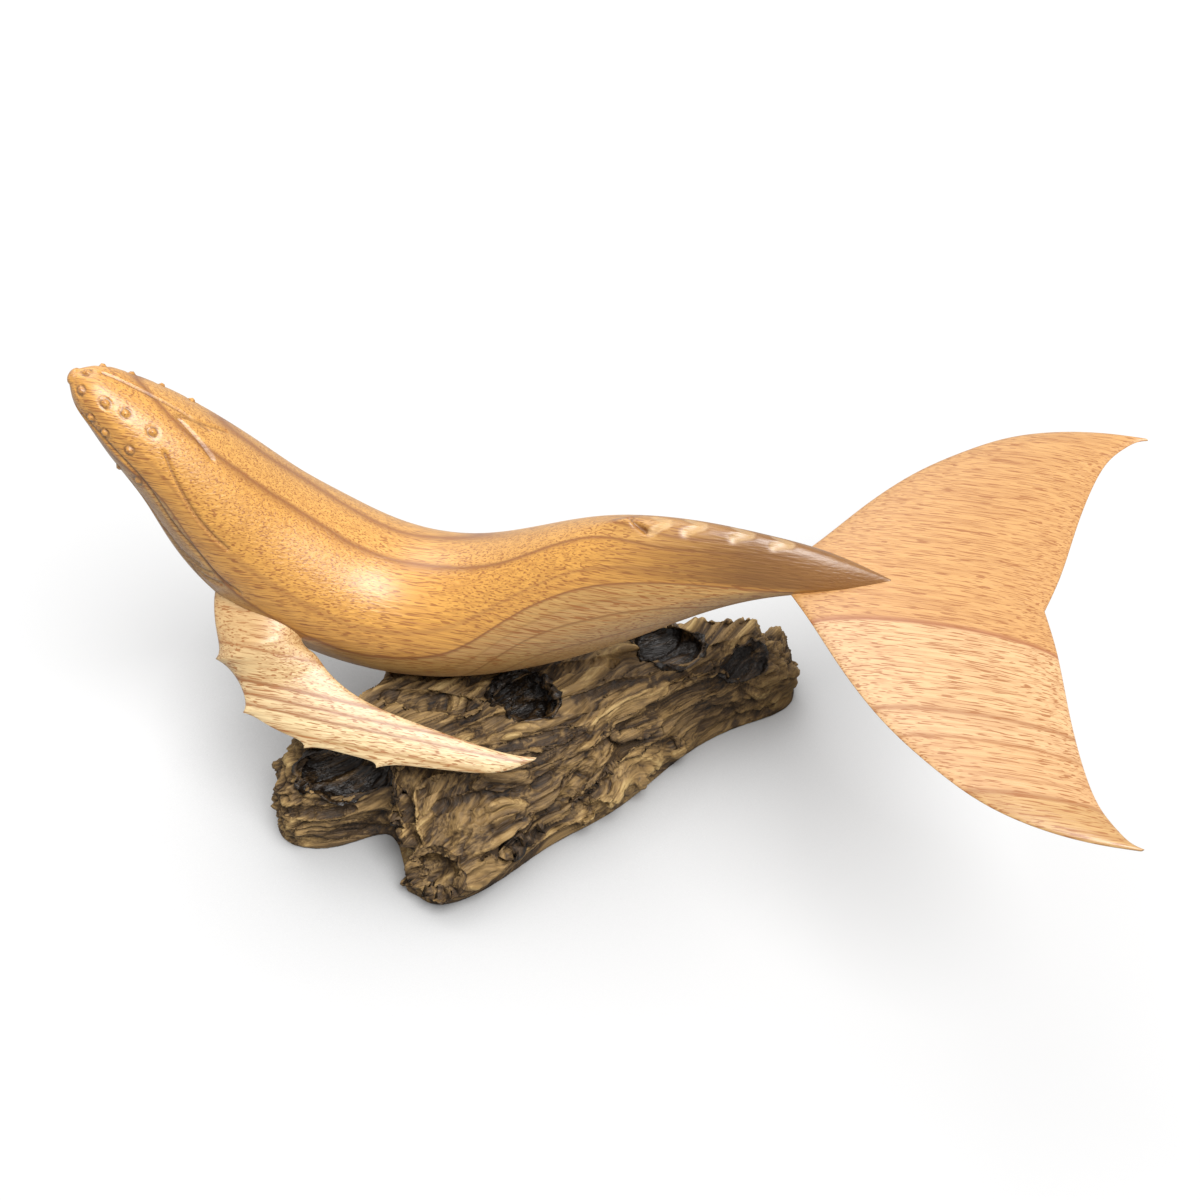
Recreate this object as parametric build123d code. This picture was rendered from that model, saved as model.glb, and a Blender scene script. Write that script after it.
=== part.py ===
"""Carved wooden humpback whale standing on a piece of driftwood, in millimetres.

+X runs from the snout to the tail, +Y to the whale's right side and +Z up. The whale's plane of
symmetry is y = 0, and the origin lies on the flat underside of the driftwood, below the belly.
"""
from build123d import *
import os
from math import cos, radians, sin

# Whale's body: one row for each carved station along the spine, as (x, height over the seat,
# height above the spine, depth below it, half width, sharpness of the back's ridge).
# All heights of the whale are measured from its seat, the lowest point of the belly.
BODY_STATIONS = [
    (-153.4, 125.2, 3.0, 3.0, 3.6, 0.0),
    (-150.5, 123.0, 6.2, 6.8, 7.4, 0.0),
    (-144.0, 118.0, 9.4, 10.8, 12.0, 0.0),
    (-133.0, 107.4, 13.4, 15.4, 17.2, 0.0),
    (-119.0, 92.4, 17.6, 20.8, 21.6, 0.0),
    (-106.0, 75.4, 22.0, 27.4, 25.6, 0.0),
    (-91.5, 56.6, 26.0, 31.0, 29.0, 0.0),
    (-74.0, 42.6, 27.2, 31.4, 31.0, 0.0),
    (-52.0, 32.8, 25.8, 30.8, 31.0, 0.0),
    (-26.0, 29.8, 25.6, 29.4, 29.4, 0.0),
    (0.0, 36.0, 25.8, 27.8, 27.6, 0.1),
    (26.0, 47.8, 27.2, 26.2, 25.2, 0.2),
    (52.0, 60.6, 28.2, 23.2, 20.6, 0.4),
    (78.0, 70.2, 24.4, 16.8, 14.6, 0.8),
    (102.0, 75.6, 17.0, 9.8, 11.0, 1.0),
    (124.0, 78.0, 9.6, 4.4, 8.2, 1.0),
    (146.0, 78.4, 1.2, 1.2, 1.2, 1.0),
]
BODY_MIDDLE_Z = 34.0
KEEL_TIP_X = BODY_STATIONS[-1][0]

# Knobs in rows along both jaws: angle from the back's midline, knob radius, and places on the
# spine as shares of its length
KNOB_ROWS = [
    (50, 2.7, (0.018, 0.047, 0.079, 0.113)),
    (90, 2.2, (0.034, 0.057, 0.085)),
    (117, 2.2, (0.093, 0.120)),
]
KNOB_RISE = 0.35

# Grooves cut into both sides of the head, at places given as (share of the spine, angle from the back)
MOUTH_HALF_WIDTH = 0.9
MOUTH_DEPTH = 0.8
MOUTH_LINE = [(0.025, 116), (0.067, 99), (0.113, 95), (0.14, 99), (0.17, 103), (0.22, 100), (0.27, 96)]
PLEAT_HALF_WIDTH = 1.5
PLEAT_DEPTH = 1.1
PLEAT_ANGLES = (126, 149, 171)
PLEAT_PLACES = (0.11, 0.16, 0.22, 0.28, 0.35, 0.42)
GROOVE_OVERCUT = 2.0

# Small dorsal fin on the ridge of the back
DORSAL_X = 40.0
DORSAL_LENGTH = 20.0
DORSAL_HEIGHT = 1.8
DORSAL_THICKNESS = 3.0

# Half-lap joint between the peduncle and the tail fluke
LAP_LENGTH = 46.0
LAP_SHOULDER_X = KEEL_TIP_X - LAP_LENGTH
LAP_Z = 74.4
TAIL_DOWEL_RADIUS = 2.0
TAIL_DOWEL_LENGTH = 24.0
TAIL_DOWEL_DROP = 3.8

# Tail fluke, one lobe: pairs of points on the leading and trailing edge, from the root to the
# tip, each measured from the notch as (back along x, out along y)
KEEL_TO_NOTCH = 55.5
NOTCH_X = KEEL_TIP_X + KEEL_TO_NOTCH
FLUKE_Z = 74.4
FLUKE_ROOT_THICKNESS = 10.0
FLUKE_TIP_THICKNESS = 1.0
FLUKE_RIBS = [
    ((-97.0, 0.0), (0.5, 0.0)),
    ((-82.5, 19.0), (5.2, 17.0)),
    ((-68.5, 39.5), (9.0, 36.0)),
    ((-51.0, 61.0), (12.8, 54.6)),
    ((-34.0, 76.0), (17.2, 71.0)),
    ((-15.0, 88.4), (22.2, 83.0)),
    ((4.0, 94.8), (27.4, 90.0)),
    ((20.8, 97.0), (32.0, 94.4)),
    ((35.0, 97.0), (36.2, 96.2)),
]

# Left pectoral fin: its blade lies in one plane, and each rib runs from the leading to the
# trailing edge, as (along the blade, in towards the body), from inside the body to the tip
FIN_ORIGIN = (-106.0, -20.0, 45.0)
FIN_NORMAL = (0.114, -0.568, 0.815)
FIN_ROOT_THICKNESS = 9.0
FIN_TIP_THICKNESS = 1.0
FIN_RIBS = [
    ((2.0, 9.0), (34.0, -4.0)),
    ((0.6, -7.0), (36.5, -16.6)),
    ((8.2, -27.0), (42.5, -21.0)),
    ((15.6, -36.0), (47.0, -25.4)),
    ((23.0, -46.0), (54.0, -30.6)),
    ((43.0, -53.8), (68.0, -36.6)),
    ((70.0, -57.0), (88.0, -41.2)),
    ((101.0, -56.2), (110.0, -45.2)),
    ((121.5, -53.0), (124.0, -46.6)),
    ((131.6, -47.2), (132.0, -46.2)),
]
FIN_KNOBS = [(8.4, -28.4), (21.8, -46.8), (46.6, -57.6), (75.2, -58.6)]
FIN_KNOB_RADIUS = 2.0
FIN_DOWEL_SEATS = [(9.0, -5.0), (25.0, -12.0)]
FIN_DOWEL_RADIUS = 2.0
FIN_DOWEL_LENGTH = 22.0
RIGHT_FIN_DROOP = 8.0

# Pegs that carry the whale on the driftwood
PEG_RADIUS = 3.0
PEG_REAR_X = -6.0
PEG_SPACING = 28.0
PEG_IN_BASE = 22.0
PEG_IN_WHALE = 18.0
PEG_CHAMFER = 0.8
PEG_CLEARANCE = 0.06
SEAT_CLEARANCE = 0.4
SEAT_DEPTH = 3.4

# Driftwood: plan outline as (x, y, height at which the side turns over into the top)
BASE_OUTLINE = [
    (-84, -56, 32), (-75, -72, 27), (-52, -69, 28), (-34, -60, 30), (-19, -82, 22), (-8, -90, 20),
    (12, -80, 26), (30, -57, 30), (52, -34, 32), (72, -4, 31), (98, 23, 28), (118, 44, 24),
    (113, 56, 25), (88, 52, 29), (46, 44, 37), (4, 36, 44), (-36, 20, 42), (-49, -8, 36),
    (-72, -38, 31),
]
BASE_CREST = [(-52, -40), (-18, 0), (86, 36)]
BASE_FOOT_SHARE = 0.93
BASE_BULGE_SHARE = 1.0
BASE_BULGE_Z = 13.0
BASE_SHOULDER_SHARE = 0.88
BASE_CREST_SHARE = 0.40
BASE_HEIGHT = 53.4
BASE_FALL = 0.05

# Rot hollows in the driftwood: (x, y, z, radius, stretch along x, y and z)
BASE_HOLLOWS = [
    (-50, -58, 36, 10, 1.7, 1.0, 0.8),
    (12, -16, 46, 9, 1.5, 1.0, 0.9),
    (100, 27, 37, 9, 1.3, 1.0, 0.9),
    (64, 22, 48, 9, 1.4, 0.9, 0.8),
    (-8, -84, 18, 7, 1.2, 1.0, 0.9),
]

# Cracks and gullies along the driftwood's grain: half width, depth, and points near the surface.
# Each point is moved onto the surface, towards the heart of the wood at HEART_Z below the crest
HEART_Z = 5.0
CRACK_OVERCUT = 5.0
WEDGE_END_SHARE = 0.35
BASE_CRACKS = [
    (2.6, 6.0, [(52, -21, 36), (46, -28, 36), (40, -38, 30), (34, -50, 23), (24, -62, 21), (12, -76, 21)]),
    (4.2, 3.6, [(88, 18, 31), (76, 8, 34), (65, -5, 36), (53, -17, 39)]),
    (3.4, 5.0, [(-2, -47, 42), (-16, -54, 43), (-23, -61, 41), (-24, -69, 32), (-21, -75, 22)]),
    (2.4, 3.0, [(8, -40, 44), (21, -33, 44), (30, -29, 44), (39, -24, 43)]),
    (4.6, 5.0, [(-40, -28, 55), (-26, -28, 55), (-14, -27, 54), (-3, -25, 53)]),
    (2.2, 3.4, [(74, -1, 14), (63, -15, 23), (56, -24, 26), (48, -35, 22), (42, -43, 18)]),
    (2.0, 3.0, [(-75, -70, 22), (-60, -69, 22), (-46, -64, 20)]),
    (3.6, 3.0, [(82, 20, 40), (66, 6, 45), (48, -4, 49), (34, -14, 49)]),
    (3.0, 3.0, [(-11, -64, 33), (0, -58, 34), (12, -54, 34), (22, -50, 33)]),
    (3.0, 4.0, [(92, 52, 22), (60, 47, 28), (30, 42, 32), (2, 36, 36)]),
    (3.0, 4.0, [(-34, 21, 34), (-46, 0, 30), (-60, -22, 27), (-76, -42, 24)]),
]

# Long grooves between the ridges of the grain: offset across it, height, start and end along it
GRAIN_ANGLE = 38.0
GRAIN_ROWS = [
    (-60, 16, -55, 35), (-50, 32, -50, 70), (-40, 40, -58, 92), (-29, 47, -45, 62), (-18, 50, -40, 70),
    (30, 40, -30, 60),
]
GRAIN_STEP = 15
GRAIN_SWAY = 4.0
GRAIN_WAVE = 14.0
GRAIN_HALF_WIDTH = 3.2
GRAIN_DEPTH = 2.2

# Lumps on the driftwood's edge: points near the surface, radius
LUMP_SUNK_SHARE = 0.62
BASE_LUMPS = [
    ((42, -44, 12), 7), ((50, -35, 17), 6), ((60, -23, 14), 7), ((72, -4, 13), 7),
    ((-84, -53, 28), 7), ((-79, -65, 28), 6), ((-70, -72, 14), 7), ((105, 54, 20), 7), ((-46, 2, 22), 7),
]


def carved_section(station, tangent):
    """A cross-section of the body, square to the spine: two mirrored half outlines."""
    x, z, above, below, half_width, ridge = station
    shoulder_width = half_width * (0.72 - 0.20 * ridge)
    half = Spline(
        (0, -below),
        (half_width * 0.71, -below * 0.71),
        (half_width, -below * 0.10 * ridge),
        (shoulder_width, above * 0.70),
        (0, above),
        tangents=[(1, 0), (-half_width, above * ridge)],
    )
    outline = Curve() + [half, mirror(half, about=Plane.YZ)]
    return Plane(origin=(x, 0, z), x_dir=(0, 1, 0), z_dir=tangent) * make_face(outline)


def body_spine():
    return Spline(*[(station[0], 0, station[1]) for station in BODY_STATIONS])


def body_blank(spine):
    """The whole carved form from the snout to the keel's tip, before the joints are cut."""
    sections = []
    for station in BODY_STATIONS:
        tangent = spine.tangent_at(Vector(station[0], 0, station[1]))
        sections.append(carved_section(station, tangent))
    return loft(sections)


def surface_point(solid, start, direction):
    """Where a line from inside the solid leaves it."""
    hits = solid.find_intersection_points(Axis(start, direction))
    ahead = [point for point, normal in hits if (point - Vector(*start)).dot(Vector(*direction)) > 0]
    return max(ahead, key=lambda point: (point - Vector(*start)).length)


def largest_solid(shape):
    return max(shape.solids(), key=lambda piece: piece.volume)


def wedge(spots, half_width, depth, overcut):
    """A wedge to cut out along (surface point, way in) pairs, drawn to narrow ends."""
    sections = []
    for i, (surface, inward) in enumerate(spots):
        run = spots[min(i + 1, len(spots) - 1)][0] - spots[max(i - 1, 0)][0]
        side = run.cross(inward).normalized()
        share = WEDGE_END_SHARE if i in (0, len(spots) - 1) else 1.0
        corners = [
            surface + side * half_width * share, surface + inward * depth * share,
            surface - side * half_width * share, surface - inward * overcut,
        ]
        sections.append(Wire.make_polygon(corners))
    return Solid.make_loft(sections, ruled=True)


def body_spot(blank, spine, place, angle, side):
    """A point of the body's surface and the way in, at an angle from the back on one side."""
    tangent = spine.tangent_at(place)
    back = Vector(-tangent.Z, 0, tangent.X)
    outward = back * cos(radians(angle)) + Vector(0, side * sin(radians(angle)), 0)
    return surface_point(blank, tuple(spine.position_at(place)), tuple(outward)), outward * -1


def jaw_knobs(blank, spine):
    knobs = []
    for angle, radius, places in KNOB_ROWS:
        for place in places:
            for side in (-1, 1):
                seat, inward = body_spot(blank, spine, place, angle, side)
                knobs.append(Pos(seat + inward * radius * (1 - KNOB_RISE)) * Sphere(radius))
    return knobs


def head_grooves(blank, spine):
    """The line of the mouth and the pleats of the throat, on both sides."""
    wedges = []
    for side in (-1, 1):
        mouth = [body_spot(blank, spine, place, angle, side) for place, angle in MOUTH_LINE]
        wedges.append(wedge(mouth, MOUTH_HALF_WIDTH, MOUTH_DEPTH, GROOVE_OVERCUT))
        for angle in PLEAT_ANGLES:
            pleat = [body_spot(blank, spine, place, angle, side) for place in PLEAT_PLACES]
            wedges.append(wedge(pleat, PLEAT_HALF_WIDTH, PLEAT_DEPTH, GROOVE_OVERCUT))
    return wedges


def dorsal_fin(blank):
    """A low hooked fin that stands on the ridge, with its steep side to the tail."""
    ridge = surface_point(blank, (DORSAL_X, 0, FLUKE_Z), (0, 0, 1)).Z
    end = surface_point(blank, (DORSAL_X + DORSAL_LENGTH, 0, FLUKE_Z), (0, 0, 1)).Z
    top = max(ridge, end) + DORSAL_HEIGHT
    root = min(ridge, end) - DORSAL_HEIGHT
    front, rear = DORSAL_X, DORSAL_X + DORSAL_LENGTH
    rise = Spline((front, ridge), (front + 0.6 * DORSAL_LENGTH, top - DORSAL_HEIGHT), (rear, top))
    hook = Polyline((rear, top), (rear - 0.1 * DORSAL_LENGTH, root), (front, root), (front, ridge))
    profile = Plane.XZ * make_face(Curve() + [rise, hook])
    return extrude(profile, amount=DORSAL_THICKNESS / 2, both=True)


def lap_space():
    """The room below the lap plane and behind its shoulder, which belongs to the fluke."""
    size = NOTCH_X
    return Pos(LAP_SHOULDER_X, 0, LAP_Z) * Box(size, size, size, align=(Align.MIN, Align.CENTER, Align.MAX))


def lens_rib(front, rear, up, thickness):
    """A thin lens-shaped section between a point on the leading and one on the trailing edge."""
    middle = (front + rear) / 2
    upper = ThreePointArc(front, middle + up * thickness / 2, rear)
    lower = ThreePointArc(rear, middle - up * thickness / 2, front)
    return make_face(Curve() + [upper, lower])


def blade(edges, up, root_thickness, tip_thickness):
    """A fluke lobe or a fin: lens sections from the root to the tip."""
    ribs = []
    for i, (front, rear) in enumerate(edges):
        share = i / (len(edges) - 1)
        ribs.append(lens_rib(front, rear, up, root_thickness + (tip_thickness - root_thickness) * share))
    return loft(ribs)


def fluke_lobe():
    def place(point):
        return Vector(NOTCH_X + point[0], point[1], FLUKE_Z)

    edges = [(place(front), place(rear)) for front, rear in FLUKE_RIBS]
    return blade(edges, Vector(0, 0, 1), FLUKE_ROOT_THICKNESS, FLUKE_TIP_THICKNESS)


def fin_plane():
    return Plane(origin=FIN_ORIGIN, x_dir=(1, 0, 0), z_dir=FIN_NORMAL)


def left_fin_blank():
    plane = fin_plane()

    def place(point):
        return plane.from_local_coords(Vector(point[0], point[1], 0))

    edges = [(place(front), place(rear)) for front, rear in FIN_RIBS]
    fin = blade(edges, plane.z_dir, FIN_ROOT_THICKNESS, FIN_TIP_THICKNESS)
    for knob in FIN_KNOBS:
        fin += Pos(place(knob)) * Sphere(FIN_KNOB_RADIUS)
    return fin


def fin_dowel(seat):
    """A dowel across the glue joint, pointing from the blade into the body."""
    plane = fin_plane()
    start = plane.from_local_coords(Vector(seat[0], seat[1] - FIN_DOWEL_LENGTH / 2, 0))
    line = Plane(origin=start, z_dir=plane.y_dir)
    return line * Cylinder(FIN_DOWEL_RADIUS, FIN_DOWEL_LENGTH, align=(Align.CENTER, Align.CENTER, Align.MIN))


def tail_dowel():
    centre = (LAP_SHOULDER_X, 0, LAP_Z - TAIL_DOWEL_DROP)
    return Pos(*centre) * Rot(0, 90, 0) * Cylinder(TAIL_DOWEL_RADIUS, TAIL_DOWEL_LENGTH)


def upright_rod(x, bottom, top, radius):
    place = Pos(x, 0, bottom)
    return place * Cylinder(radius, top - bottom, align=(Align.CENTER, Align.CENTER, Align.MIN))


def support_peg(x, foot, head):
    rod = upright_rod(x, foot, head, PEG_RADIUS)
    return chamfer(rod.edges(), PEG_CHAMFER)


def crest_point(x, y):
    """The nearest point of the driftwood's crest line, seen from above."""
    here = Vector(x, y)
    nearest = []
    for first, second in zip(BASE_CREST, BASE_CREST[1:]):
        start, run = Vector(*first), Vector(*second) - Vector(*first)
        share = max(0.0, min(1.0, (here - start).dot(run) / run.dot(run)))
        nearest.append(start + run * share)
    return min(nearest, key=lambda point: (point - here).length)


def base_ring(share, height):
    """The plan outline drawn in towards the crest; height gives z from x and the shoulder."""
    points = []
    for x, y, shoulder in BASE_OUTLINE:
        crest = crest_point(x, y)
        place = crest + (Vector(x, y) - crest) * share
        points.append((place.X, place.Y, height(place.X, shoulder)))
    return Wire(Spline(*points, periodic=True))


def driftwood_blank():
    rings = [
        base_ring(BASE_FOOT_SHARE, lambda x, shoulder: 0.0),
        base_ring(BASE_BULGE_SHARE, lambda x, shoulder: BASE_BULGE_Z),
        base_ring(BASE_SHOULDER_SHARE, lambda x, shoulder: shoulder),
        base_ring(BASE_CREST_SHARE, lambda x, shoulder: BASE_HEIGHT - BASE_FALL * x),
    ]
    blank = Solid.make_loft(rings)
    wood = blank
    for place, radius in BASE_LUMPS:
        surface, inward = wood_surface(blank, place)
        wood += Pos(surface + inward * radius * LUMP_SUNK_SHARE) * Sphere(radius)
    grain = [(GRAIN_HALF_WIDTH, GRAIN_DEPTH, grain_places(*row)) for row in GRAIN_ROWS]
    for half_width, depth, places in grain + BASE_CRACKS:
        wood -= wedge([wood_surface(blank, place) for place in places], half_width, depth, CRACK_OVERCUT)
    for x, y, z, radius, stretch_x, stretch_y, stretch_z in BASE_HOLLOWS:
        hollow = scale(Sphere(radius), by=(stretch_x, stretch_y, stretch_z))
        wood -= Pos(x, y, z) * hollow
    return largest_solid(wood)


def wood_surface(blank, place):
    """The surface point where a line from the heart of the wood to a place comes out, and the way in."""
    crest = crest_point(place[0], place[1])
    heart = Vector(crest.X, crest.Y, HEART_Z)
    outward = (Vector(*place) - heart).normalized()
    return surface_point(blank, heart, outward), outward * -1


def grain_places(across, height, start, end):
    """Places along one swaying groove of the grain."""
    places = []
    for along in range(start, end, GRAIN_STEP):
        offset = across + GRAIN_SWAY * sin(along / GRAIN_WAVE + across)
        x = along * cos(radians(GRAIN_ANGLE)) - offset * sin(radians(GRAIN_ANGLE))
        y = along * sin(radians(GRAIN_ANGLE)) + offset * cos(radians(GRAIN_ANGLE))
        places.append((x, y, height))
    return places


def right_side(shape):
    """The mirror image of a piece of the left fin; the right fin also droops a little more."""
    root = Axis((0, -FIN_ORIGIN[1], FIN_ORIGIN[2]), (1, 0, 0))
    return mirror(shape, about=Plane.XZ).rotate(root, -RIGHT_FIN_DROOP)


def whale_pieces(blank, spine):
    """The whale's own pieces with their joints cut, with heights from the seat."""
    lap = lap_space()
    lobe = fluke_lobe()
    fin = left_fin_blank()
    dowels = {"tail_dowel": tail_dowel()}
    for place, seat in zip(("front", "rear"), FIN_DOWEL_SEATS):
        dowels[f"left_fin_{place}_dowel"] = fin_dowel(seat)
        dowels[f"right_fin_{place}_dowel"] = right_side(fin_dowel(seat))
    body = blank - lap
    for groove in head_grooves(blank, spine):
        body -= groove
    pieces = {
        "whale_body": body + jaw_knobs(blank, spine) + dorsal_fin(blank),
        "tail_fluke": lobe + mirror(lobe, about=Plane.XZ) + (blank & lap) - (blank - lap),
        "left_pectoral_fin": largest_solid(fin - blank),
        "right_pectoral_fin": largest_solid(right_side(fin) - blank),
    }
    for name in pieces:
        for dowel in dowels.values():
            pieces[name] -= dowel
    return pieces | dowels


def build():
    spine = body_spine()
    blank = body_blank(spine)
    pieces = whale_pieces(blank, spine)
    lift = Pos(0, 0, BASE_HEIGHT - SEAT_DEPTH)
    base = driftwood_blank() - lift * Pos(0, 0, -SEAT_CLEARANCE) * blank
    pegs = {}
    for name, x in (("front", PEG_REAR_X - PEG_SPACING), ("rear", PEG_REAR_X)):
        belly = surface_point(blank, (x, 0, BODY_MIDDLE_Z), (0, 0, -1)).Z
        foot, head = belly - PEG_IN_BASE, belly + PEG_IN_WHALE
        pegs[f"{name}_support_peg"] = lift * support_peg(x, foot, head)
        base -= lift * upright_rod(x, foot, head, PEG_RADIUS)
        pieces["whale_body"] -= upright_rod(x, foot, head, PEG_RADIUS + PEG_CLEARANCE)
    whale = {name: lift * piece for name, piece in pieces.items()}
    return whale | {"driftwood_base": base} | pegs


if __name__ == "__main__":
    os.makedirs("parts", exist_ok=True)
    for name, shape in build().items():
        export_step(shape, f"parts/{name}.step")
        print(name, round(shape.volume), len(shape.solids()), shape.is_valid)
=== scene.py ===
import math

import bpy
import numpy as np
from mathutils import Matrix, Vector


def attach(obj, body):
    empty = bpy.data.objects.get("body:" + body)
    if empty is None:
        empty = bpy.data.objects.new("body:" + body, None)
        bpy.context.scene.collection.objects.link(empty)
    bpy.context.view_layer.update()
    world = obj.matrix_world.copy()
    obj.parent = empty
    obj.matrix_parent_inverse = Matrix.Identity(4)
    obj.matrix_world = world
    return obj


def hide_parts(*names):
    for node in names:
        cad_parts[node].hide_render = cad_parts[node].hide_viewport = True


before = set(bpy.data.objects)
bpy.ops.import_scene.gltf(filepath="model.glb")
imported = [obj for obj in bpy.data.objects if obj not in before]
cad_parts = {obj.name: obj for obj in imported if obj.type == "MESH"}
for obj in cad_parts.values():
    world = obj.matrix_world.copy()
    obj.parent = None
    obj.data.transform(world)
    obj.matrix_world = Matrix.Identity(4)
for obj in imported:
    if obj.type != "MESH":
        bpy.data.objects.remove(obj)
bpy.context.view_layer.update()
MM = 0.001

# Camera of the photograph: a point that it looks at, its distance and angles, and mm per pixel there
LOOK_AT = np.array([40.0, 0.0, 95.0])
CAMERA_DISTANCE = 720.0
CAMERA_AZIMUTH = math.radians(11.1)
CAMERA_ELEVATION = math.radians(48.9)
PHOTO_PIXELS = 1200
MM_PER_PIXEL = 0.38
SENSOR_WIDTH = 36.0

# Whale's body in mm, as the solids have it: x, z, height above the spine, depth below it,
# half width, sharpness of the back's ridge
SEAT_Z = 50.0
BODY_STATIONS = np.array([
    (-153.4, 125.2, 3.0, 3.0, 3.6, 0.0),
    (-150.5, 123.0, 6.2, 6.8, 7.4, 0.0),
    (-144.0, 118.0, 9.4, 10.8, 12.0, 0.0),
    (-133.0, 107.4, 13.4, 15.4, 17.2, 0.0),
    (-119.0, 92.4, 17.6, 20.8, 21.6, 0.0),
    (-106.0, 75.4, 22.0, 27.4, 25.6, 0.0),
    (-91.5, 56.6, 26.0, 31.0, 29.0, 0.0),
    (-74.0, 42.6, 27.2, 31.4, 31.0, 0.0),
    (-52.0, 32.8, 25.8, 30.8, 31.0, 0.0),
    (-26.0, 29.8, 25.6, 29.4, 29.4, 0.0),
    (0.0, 36.0, 25.8, 27.8, 27.6, 0.1),
    (26.0, 47.8, 27.2, 26.2, 25.2, 0.2),
    (52.0, 60.6, 28.2, 23.2, 20.6, 0.4),
    (78.0, 70.2, 24.4, 16.8, 14.6, 0.8),
    (102.0, 75.6, 17.0, 9.8, 11.0, 1.0),
    (124.0, 78.0, 9.6, 4.4, 8.2, 1.0),
    (146.0, 78.4, 1.2, 1.2, 1.2, 1.0),
]) + np.array([0, SEAT_Z, 0, 0, 0, 0])
RIDGE_FLATTENING = 0.47
BODY_RINGS = 400
BODY_SEGMENTS = 216
CAP_RINGS = 6
SNOUT_CAP = 2.2
KEEL_CAP = 1.0

# Carved details on the body as places (mm along the spine, degrees down from the back)
LEFT_KNOBS = [
    (4, 61), (12.9, 45), (19.8, 37), (30.7, 35), (11.9, 94), (18.8, 91), (28.7, 76), (32.2, 127), (39.1, 104),
]
RIGHT_KNOBS = [
    (6.4, -56), (16.3, -57), (27.2, -57), (39.1, -54), (12, -94), (19, -91), (29, -80), (32, -127),
    (39, -105),
]
SNOUT_KNOB = [(2.5, -4)]
KNOB_RADIUS = 1.8
KNOB_HEIGHT = 0.9
# The groove round each knob gets painted shade
KNOB_CHIP_WIDTH = 1.0
KNOB_CHIP_DEPTH = 0.4
MOUTH_LINE = [(6, 118), (23, 99), (39, 95), (48, 99), (59, 103), (76, 100), (86, 100), (95, 96)]
CHEEK_LINE = [(38, 46), (46, 60), (53, 68), (64, 74), (78, 72)]
BLOWHOLE_SLIT = [(35, 2), (43, 10), (52, 20)]
HEAD_CREASE = [(7, -10), (20, -9), (34, -9), (47, -7)]
LINE_WIDTH = 1.3
LINE_DEPTH = 0.8
LINE_SHADE = 0.8
PLEAT_ANGLES = (126, 149, 171)
PLEAT_FRONT = 38
PLEAT_REAR = 146
PLEAT_TURNS = [
    [(62, 124), (72, 119), (79, 110)],
    [(70, 124), (79, 116), (84, 104)],
    [(78, 124), (85, 115), (89, 104)],
]
PLEAT_WIDTH = 1.8
PLEAT_DEPTH = 1.0
PLEAT_SHADE = 0.5
# Knuckle chips along the tail's crest; the materials give their facets a painted highlight
KNUCKLES = [(272, 2), (283, 3), (298, 4), (311, 4)]
KNUCKLE_LENGTH = 5.0
KNUCKLE_FALL = 16
KNUCKLE_WIDTH = 3.0
KNUCKLE_DEPTH = 0.6
DORSAL_FRONT = 236.0
DORSAL_REAR = 260.0
DORSAL_DROP = 3.0
DORSAL_HEIGHT = 2.0
DORSAL_SPREAD = 9.0
DORSAL_CURVE = 1.6
DORSAL_NOTCH = [(259, -10), (262, 4), (265, 17)]
NOTCH_WIDTH = 1.7
NOTCH_DEPTH = 1.8

# Tail fluke: leading and trailing edge of one lobe, from the notch, in mm
NOTCH_X = 201.5
FLUKE_Z = SEAT_Z + 74.4
FLUKE_THICKNESS = (10.0, 1.0)
FLUKE_RIBS = [
    (-97.0, 0.0, 0.5, 0.0),
    (-82.5, 19.0, 5.2, 17.0),
    (-68.5, 39.5, 9.0, 36.0),
    (-51.0, 61.0, 12.8, 54.6),
    (-34.0, 76.0, 17.2, 71.0),
    (-15.0, 88.4, 22.2, 83.0),
    (4.0, 94.8, 27.4, 90.0),
    (20.8, 97.0, 32.0, 94.4),
    (35.0, 97.0, 36.2, 96.2),
]

# Left pectoral fin in its blade's plane: leading and trailing edge, from the body to the tip
FIN_ORIGIN = np.array([-106.0, -20.0, SEAT_Z + 45.0])
FIN_NORMAL = np.array([0.114, -0.568, 0.815])
FIN_THICKNESS = (9.0, 1.0)
FIN_RIBS = [
    (2.0, 9.0, 34.0, -4.0),
    (0.6, -7.0, 36.5, -16.6),
    (8.2, -27.0, 42.5, -21.0),
    (15.6, -36.0, 47.0, -25.4),
    (23.0, -46.0, 54.0, -30.6),
    (43.0, -53.8, 68.0, -36.6),
    (70.0, -57.0, 88.0, -41.2),
    (101.0, -56.2, 110.0, -45.2),
    (121.5, -53.0, 124.0, -46.6),
    (131.6, -47.2, 132.0, -46.2),
]
FIN_KNOBS = [(8.4, -28.4), (21.8, -46.8), (46.6, -57.6), (75.2, -58.6)]
FIN_KNOB_HEIGHT = 3.8
FIN_KNOB_REACH = 2.8
FIN_FOLD = [(8.4, -28.4), (34.0, -14.0)]
FIN_FOLD_HEIGHT = 4.5
FIN_FOLD_REACH = 16.0
FIN_FOLD_BLEND = 5.0
RIGHT_FIN_DROOP = math.radians(8.0)
EDGE_ROUNDING = 1.3
BLADE_RINGS = 150
BLADE_SEGMENTS = 88
TIP_CROWDING = 1.35

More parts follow.
